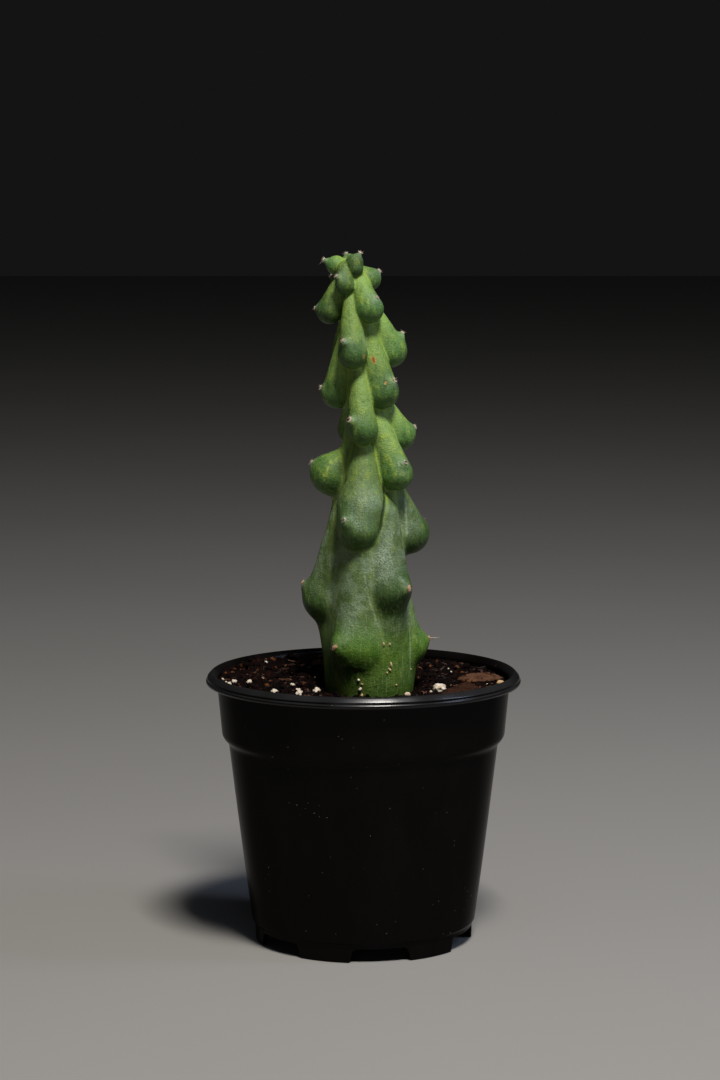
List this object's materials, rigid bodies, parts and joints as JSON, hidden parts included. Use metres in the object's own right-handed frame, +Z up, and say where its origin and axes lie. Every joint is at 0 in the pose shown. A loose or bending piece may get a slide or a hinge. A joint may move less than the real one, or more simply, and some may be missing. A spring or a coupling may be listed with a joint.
{
  "type": "potted boobie cactus",
  "caption": "Columnar cactus with drooping breast-shaped tubercles, rooted in soil in a round black nursery pot that stands on notched feet.",
  "frame": {"origin": "centre of the pot's foot, on the surface it stands on", "axes": "+Z up along the pot's axis, -Y towards the picture's viewer, +X to the viewer's right"},
  "size_m": [0.158, 0.158, 0.3465],
  "materials": {
    "pot_plastic": "black injection-moulded polypropylene, semi-gloss",
    "potting_soil": "loose dark peat mix with fibres",
    "cactus_skin": "waxy green living skin with a pale bloom",
    "perlite": "matt porous white grains",
    "bark": "weathered reddish-brown bark"
  },
  "bodies": {
    "root": {"pot": "pot_plastic", "soil": "potting_soil", "cactus_stem": "cactus_skin", "perlite_1": "perlite", "perlite_2": "perlite", "perlite_3": "perlite", "perlite_4": "perlite", "perlite_5": "perlite", "perlite_6": "perlite", "perlite_7": "perlite", "perlite_8": "perlite", "perlite_9": "perlite", "perlite_10": "perlite", "perlite_11": "perlite", "perlite_12": "perlite", "perlite_13": "perlite", "perlite_14": "perlite", "perlite_15": "perlite", "bark_chip_1": "bark", "bark_chip_2": "bark", "bark_chip_3": "bark"}
  },
  "joints": []
}
